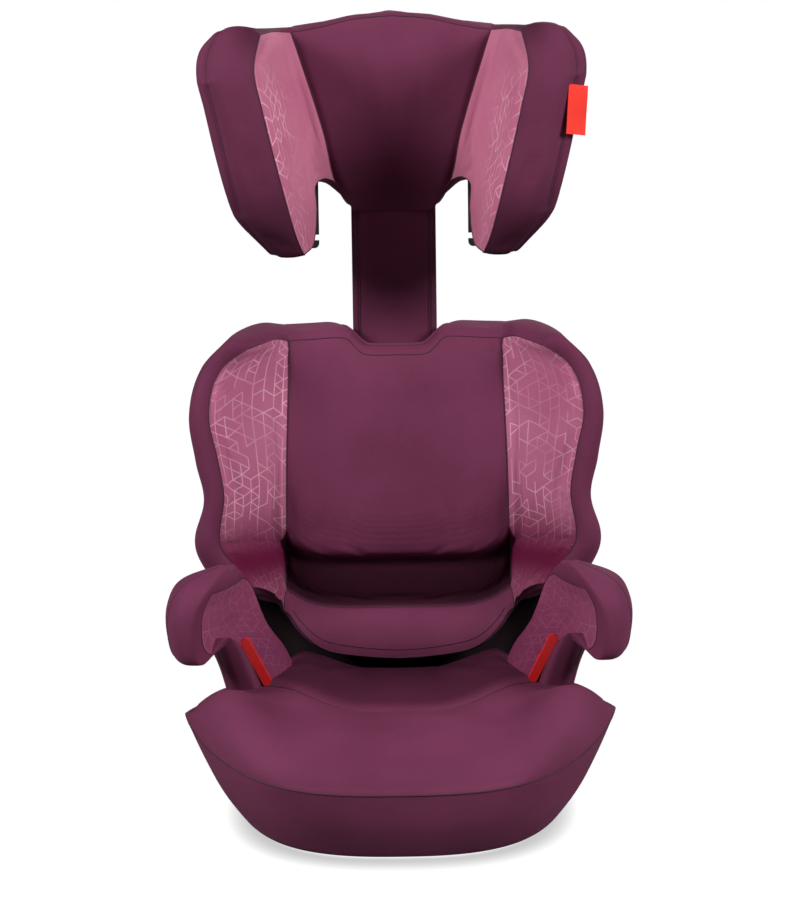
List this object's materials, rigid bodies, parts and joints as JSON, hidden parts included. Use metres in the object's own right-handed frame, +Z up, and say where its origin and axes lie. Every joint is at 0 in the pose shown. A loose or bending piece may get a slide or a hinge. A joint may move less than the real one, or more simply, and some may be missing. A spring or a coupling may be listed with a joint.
{
  "type": "booster seat",
  "caption": "High-back child booster seat with padded base and armrests, winged backrest on a hinge rod and a winged headrest that slides on a latched neck.",
  "frame": {"origin": "centre of the overall box in plan, on the floor", "axes": "+Z up, -Y towards the front of the seat, +X to the right as seen from the front"},
  "size_m": [0.468, 0.4368, 0.7682],
  "materials": {
    "knit_plum": "fine heathered knit",
    "knit_pink": "fine knit with a light line pattern",
    "foam": "open-cell foam",
    "insert_foam": "expanded bead foam",
    "shell_grey": "moulded, fine grain",
    "base_grey": "moulded, fine grain",
    "trim_dark": "moulded, satin",
    "guide_red": "satin",
    "tag_red": "woven ribbon",
    "steel": "zinc plated",
    "rubber": "matt"
  },
  "bodies": {
    "base": {"base_shell": "base_grey", "base_skirt": "knit_plum", "base_ribs": "base_grey", "base_feet": "rubber", "base_screws": "steel", "seat_foam": "foam", "seat_cover": "knit_plum", "hinge_bracket": "base_grey", "hinge_rod": "steel", "rod_clips": "steel", "arm_frame_left": "foam", "arm_frame_right": "foam", "arm_cover_left": "knit_pink", "arm_cover_right": "knit_pink", "lap_belt_guide_left": "guide_red", "lap_belt_guide_right": "guide_red"},
    "backrest": {"back_shell": "shell_grey", "back_foam": "foam", "lumbar_pad": "foam", "back_cover": "knit_plum", "neck_collar": "trim_dark", "neck_channel": "base_grey", "height_rack": "steel", "back_screws": "steel", "back_hook_left": "base_grey", "back_hook_right": "base_grey"},
    "headrest": {"head_shell": "shell_grey", "head_foam": "foam", "head_cover": "knit_plum", "wing_insert_left": "insert_foam", "wing_insert_right": "insert_foam", "head_spine": "base_grey", "neck_sleeve": "knit_plum", "spine_screws": "steel", "handle_bracket": "base_grey", "handle_pin": "steel", "shoulder_belt_guide_left": "trim_dark", "shoulder_belt_guide_right": "trim_dark", "side_tag": "tag_red"},
    "handle": {"release_handle": "trim_dark"},
    "pull_rod": {"release_rod": "steel"},
    "latch": {"latch_bolt": "steel"}
  },
  "joints": [
    {"name": "back_recline", "type": "hinge", "parent": "base", "child": "backrest", "pos_m": [0, 0.12, 0.072], "axis": [-1, 0, 0], "range_deg": [-4, 12]},
    {"name": "headrest_height", "type": "slide", "parent": "backrest", "child": "headrest", "axis": [0, 0.1045, 0.9945], "range_m": [-0.05, 0.1]},
    {"name": "handle_squeeze", "type": "hinge", "parent": "headrest", "child": "handle", "pos_m": [0, 0.21276, 0.70578], "axis": [1, 0, 0], "range_deg": [0, 18]},
    {"name": "rod_pull", "type": "slide", "parent": "headrest", "child": "pull_rod", "axis": [0, 0.1045, 0.9945], "range_m": [0, 0.005]},
    {"name": "latch_release", "type": "slide", "parent": "headrest", "child": "latch", "axis": [0, -0.9945, 0.1045], "range_m": [0, 0.005]}
  ],
  "couplings": [
    {"joint": "rod_pull", "follows": "handle_squeeze", "m_per_rad": 0.0159},
    {"joint": "latch_release", "follows": "handle_squeeze", "m_per_rad": 0.0159}
  ]
}
